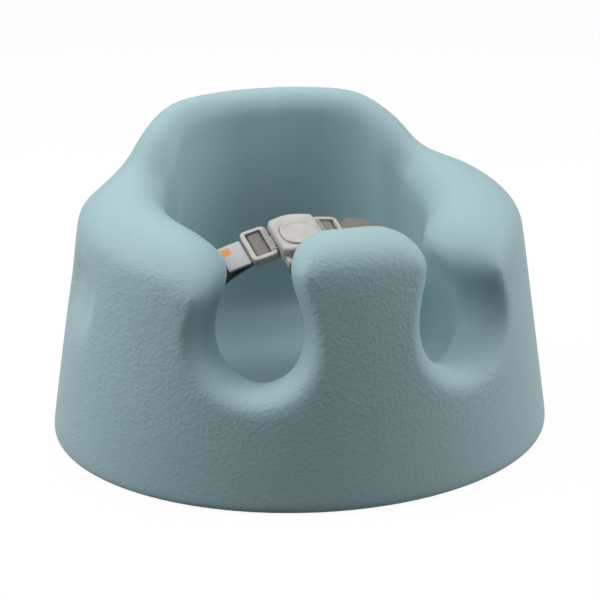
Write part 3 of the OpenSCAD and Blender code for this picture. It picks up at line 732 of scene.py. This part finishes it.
def foot(middle, out):
    """Down through the slot and the plate, then folded flat under the plate."""
    drop = [(0, z) for z in SLOT_DROP]
    fold = [(FOLD_BEND - x, z) for x, z in arc(0, -90, BEND_STEPS, 0, FOLD_Z, FOLD_BEND)]
    flat = [(FOLD_OUT, FOLD_Z - FOLD_BEND)]
    return [middle + out * x + Vector((0, 0, z)) for x, z in drop + fold + flat]


def lap_strap(hand, side, tail, lean, rise, sag, reach_out, droop, reach_up):
    """One lap strap, from the end of its tail to its fold under the seat.

    The tail's length comes with how far it leans back, rises and sags past the frame. The
    reaches and the droop say how the strap leaves the tongue and comes into its slot.
    """
    tail_run = [tail * (TAIL_STEPS - i) / TAIL_STEPS for i in range(TAIL_STEPS + 1)]
    leans = [lean * min(1, run / LEAN_OVER) for run in tail_run]
    wrap = [(FRAME_END + run, PLY_Z + WEB_WIDE / 2 * turn + rise * run - sag * run * run)
            for run, turn in zip(tail_run, leans)]
    wrap += [(BAR_X + BAR_HALF + BAR_LEAD, PLY_Z)]
    wrap += arc(0, 90, BEND_STEPS, BAR_X + BAR_HALF, BAR_Z, BAR_BEND)
    wrap += arc(90, 180, BEND_STEPS, BAR_X - BAR_HALF, BAR_Z, BAR_BEND)
    wrap += arc(180, 270, BEND_STEPS, BAR_X - BAR_HALF, LOAD_Z + BAR_BEND, BAR_BEND)
    wrap += [(FRAME_END, LOAD_Z)]
    start = frame_point(side, FRAME_END, LOAD_Z)
    ahead = frame_point(side, FRAME_END + reach_out, LOAD_Z - droop * reach_out)
    out = Vector((side * math.sin(ANCHOR_ANGLE), -math.cos(ANCHOR_ANGLE), 0))
    slot = out * ANCHOR_OUT + Vector((0, 0, SLOT_TOP))
    shares = [i / HANG_STEPS for i in range(1, HANG_STEPS + 1)]
    hang = [curve_point(start, ahead, slot + Vector((0, 0, reach_up)), slot, t) for t in shares]
    under = foot(out * ANCHOR_OUT, out)
    route = [frame_point(side, x, z) for x, z in wrap] + hang + under

    # The webbing's width lies along the tongue, and turns on the way down to lie along the slot
    top = BUCKLE_TILT.to_matrix() @ Vector((0, 1, 0))
    above = frame_point(side, 0, 1) - frame_point(side, 0, 0)
    low = Vector((side * math.cos(ANCHOR_ANGLE), math.sin(ANCHOR_ANGLE), 0))
    widths = [top + above * turn for turn in leans] + [top] * (len(wrap) - len(leans))
    widths += [top.lerp(low, t * t * (3 - 2 * t)) for t in shares] + [low] * len(under)
    strap = band(hand + "_lap_webbing", route, widths, turned_over=side < 0)
    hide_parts(hand + "_lap_strap")
    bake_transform(strap)


lap_strap("left", -1, tail=0.011, lean=0, rise=0, sag=0,
          reach_out=0.024, droop=0.35, reach_up=0.064)
lap_strap("right", 1, tail=0.042, lean=0.27, rise=0.1, sag=8,
          reach_out=0.040, droop=0.3, reach_up=0.084)


# ---- Crotch strap ----
# The same webbing. It comes up from its own slot and plate behind the pommel, and loops round
# the bar on the buckle's front edge.
LOOP_Y, LOOP_Z, LOOP_BEND = -0.0263, -0.0025, 0.0027
LOOP_END, LOOP_FOOT = -0.012, -0.006
CROTCH_OUT = 0.076
CROTCH_LEAVES = Vector((0.006, 0, -0.024))
CROTCH_COMES_IN = Vector((0, 0, 0.03))
LEFTWARDS = Vector((-1, 0, 0))

loop = [(LOOP_BEND, LOOP_END), (LOOP_BEND, LOOP_FOOT)]
loop += arc(0, 180, 2 * BEND_STEPS, 0, 0, LOOP_BEND)
start = buckle_point(0, LOOP_Y - LOOP_BEND, LOOP_Z + LOOP_FOOT)
slot = Vector((0, -CROTCH_OUT, SLOT_TOP))
hang = [curve_point(start, start + CROTCH_LEAVES, slot + CROTCH_COMES_IN, slot, i / HANG_STEPS)
        for i in range(HANG_STEPS + 1)]
under = foot(Vector((0, -CROTCH_OUT, 0)), Vector((0, -1, 0)))
route = [buckle_point(0, LOOP_Y + y, LOOP_Z + z) for y, z in loop] + hang + under
widths = [BUCKLE_TILT.to_matrix() @ LEFTWARDS] * len(loop)
widths += [LEFTWARDS] * (len(route) - len(loop))
crotch_webbing = band("crotch_webbing", route, widths)
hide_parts("crotch_strap")
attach(crotch_webbing, "seat")


# ---- Tag ----
# A cloth tag folded over the left strap's tail, white, with a plain orange patch near its end.
# It is soft, so it ripples a little, droops towards its end and thins towards its folded edges.
TAG_WHITE = srgb(166, 166, 167)
TAG_WHITE_WORN = srgb(184, 183, 184)
TAG_ORANGE = srgb(212, 140, 66)
TAG_LONG, TAG_WIDE, TAG_CORNER, TAG_THICK = 0.017, 0.0266, 0.0006, 0.0026
TAG_GAP = 0.0002
TAG_CELLS = 9
TAG_RIPPLE, TAG_DROOP, TAG_PINCH = 0.0003, 0.0012, 0.3
TAG_EDGE = 0.0003
TAG_THREADS, TAG_CREASES, TAG_DEPTH = 1400, 160, 0.0003
# The patch's middle on the tag, and how far from it the orange begins and stops fading
PATCH_ALONG, PATCH_ACROSS = 0.0125, 0.0195
PATCH_FADE_ALONG, PATCH_FADE_ACROSS = (0.0024, 0.0040), (0.0028, 0.0045)

tag_cloth = Material("tag_cloth", Roughness=0.8)
spot = tag_cloth.place("UV")
along, across = tag_cloth.split(spot, 0), tag_cloth.split(spot, 1)
weave = tag_cloth.noise(spot, TAG_THREADS, 2)
patch = 1 - (along - PATCH_ALONG).size().between(*PATCH_FADE_ALONG)
patch = patch * (1 - (across - PATCH_ACROSS).size().between(*PATCH_FADE_ACROSS))
white = tag_cloth.mix(weave, TAG_WHITE, TAG_WHITE_WORN)
tag_cloth.feed(Base_Color=tag_cloth.mix(patch, white, TAG_ORANGE))
tag_cloth.bump(weave + tag_cloth.noise(spot, TAG_CREASES, 2) * 2, TAG_DEPTH, 0.6)

folded_tag = moulded("folded_tag", TAG_LONG, TAG_WIDE, TAG_CORNER,
                     (TAG_LONG / 2, 0, -TAG_THICK / 2), TAG_THICK)
bpy.ops.object.mode_set(mode="EDIT")
for step in range(1, TAG_CELLS):
    bpy.ops.mesh.select_all(action="SELECT")
    bpy.ops.mesh.bisect(plane_co=(TAG_LONG * step / TAG_CELLS, 0, 0), plane_no=(1, 0, 0))
    bpy.ops.mesh.select_all(action="SELECT")
    bpy.ops.mesh.bisect(plane_co=(0, TAG_WIDE * (step / TAG_CELLS - 0.5), 0),
                        plane_no=(0, 1, 0))
bpy.ops.object.mode_set(mode="OBJECT")
for vertex in folded_tag.data.vertices:
    x, y = vertex.co.x / TAG_LONG, vertex.co.y / (TAG_WIDE / 2)
    vertex.co.z += TAG_RIPPLE * math.sin(5 * x + 2 * y) * (1 - abs(y)) - TAG_DROOP * x * x
    vertex.co.z *= 1 - TAG_PINCH * abs(y) ** 6
layer = folded_tag.data.uv_layers[0]
for corner in folded_tag.data.loops:
    point = folded_tag.data.vertices[corner.vertex_index].co
    layer.data[corner.index].uv = (point.x, point.y + TAG_WIDE / 2)
softened(folded_tag, TAG_EDGE, ROUNDED_FROM_FINE)
set_down(folded_tag, FRAME_AT @ Matrix.Translation((FRAME_END + TAG_GAP, 0, PLY_Z)), side=-1)
finished(folded_tag, tag_cloth, "left_tongue", "strap_tag")
tag_root = frame_point(-1, FRAME_END, PLY_Z)
tag_way = frame_point(-1, FRAME_END + 0.01, PLY_Z) - tag_root
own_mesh(folded_tag)


# ---- Anchor plates ----
# The slotted plates in the pockets under the seat are black nylon, a little scuffed by the
# webbing that folds round them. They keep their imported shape.
NYLON = srgb(34, 34, 36)
NYLON_SCUFFED = srgb(58, 58, 60)
SCUFFS, NYLON_GRAIN, NYLON_GRAIN_DEPTH = 300, 2200, 0.0001

anchor_nylon = Material("anchor_nylon", Roughness=0.5)
spot = anchor_nylon.place()
scuffs = anchor_nylon.noise(spot, SCUFFS, 4, 0.65)
anchor_nylon.feed(Base_Color=anchor_nylon.mix(scuffs.between(0.4, 0.8), NYLON, NYLON_SCUFFED),
                  Roughness=0.42 + scuffs * 0.2)
anchor_nylon.bump(anchor_nylon.noise(spot, NYLON_GRAIN, 2), NYLON_GRAIN_DEPTH, 0.3)
coated(anchor_nylon, "left_anchor_plate", "right_anchor_plate", "crotch_anchor_plate")


# ---- Button spring ----
# A coil of steel wire between the shell's lower half and the button. It stands on the shell.
STEEL = srgb(176, 178, 182)
STEEL_BRIGHT = srgb(208, 209, 212)
DRAW_MARKS = 1500
COIL_SHADED_ROUND = math.radians(50)

spring_steel = Material("spring_steel", Metallic=1.0, Roughness=0.3)
drawn = spring_steel.noise(spring_steel.place(), DRAW_MARKS, 3)
spring_steel.feed(Base_Color=spring_steel.mix(drawn, STEEL, STEEL_BRIGHT),
                  Roughness=0.24 + drawn * 0.14)
button_coil = copied("button_spring", "button_coil")
bpy.ops.object.shade_smooth_by_angle(angle=COIL_SHADED_ROUND)
finished(button_coil, spring_steel, "seat", "button_spring")
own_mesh(button_coil)
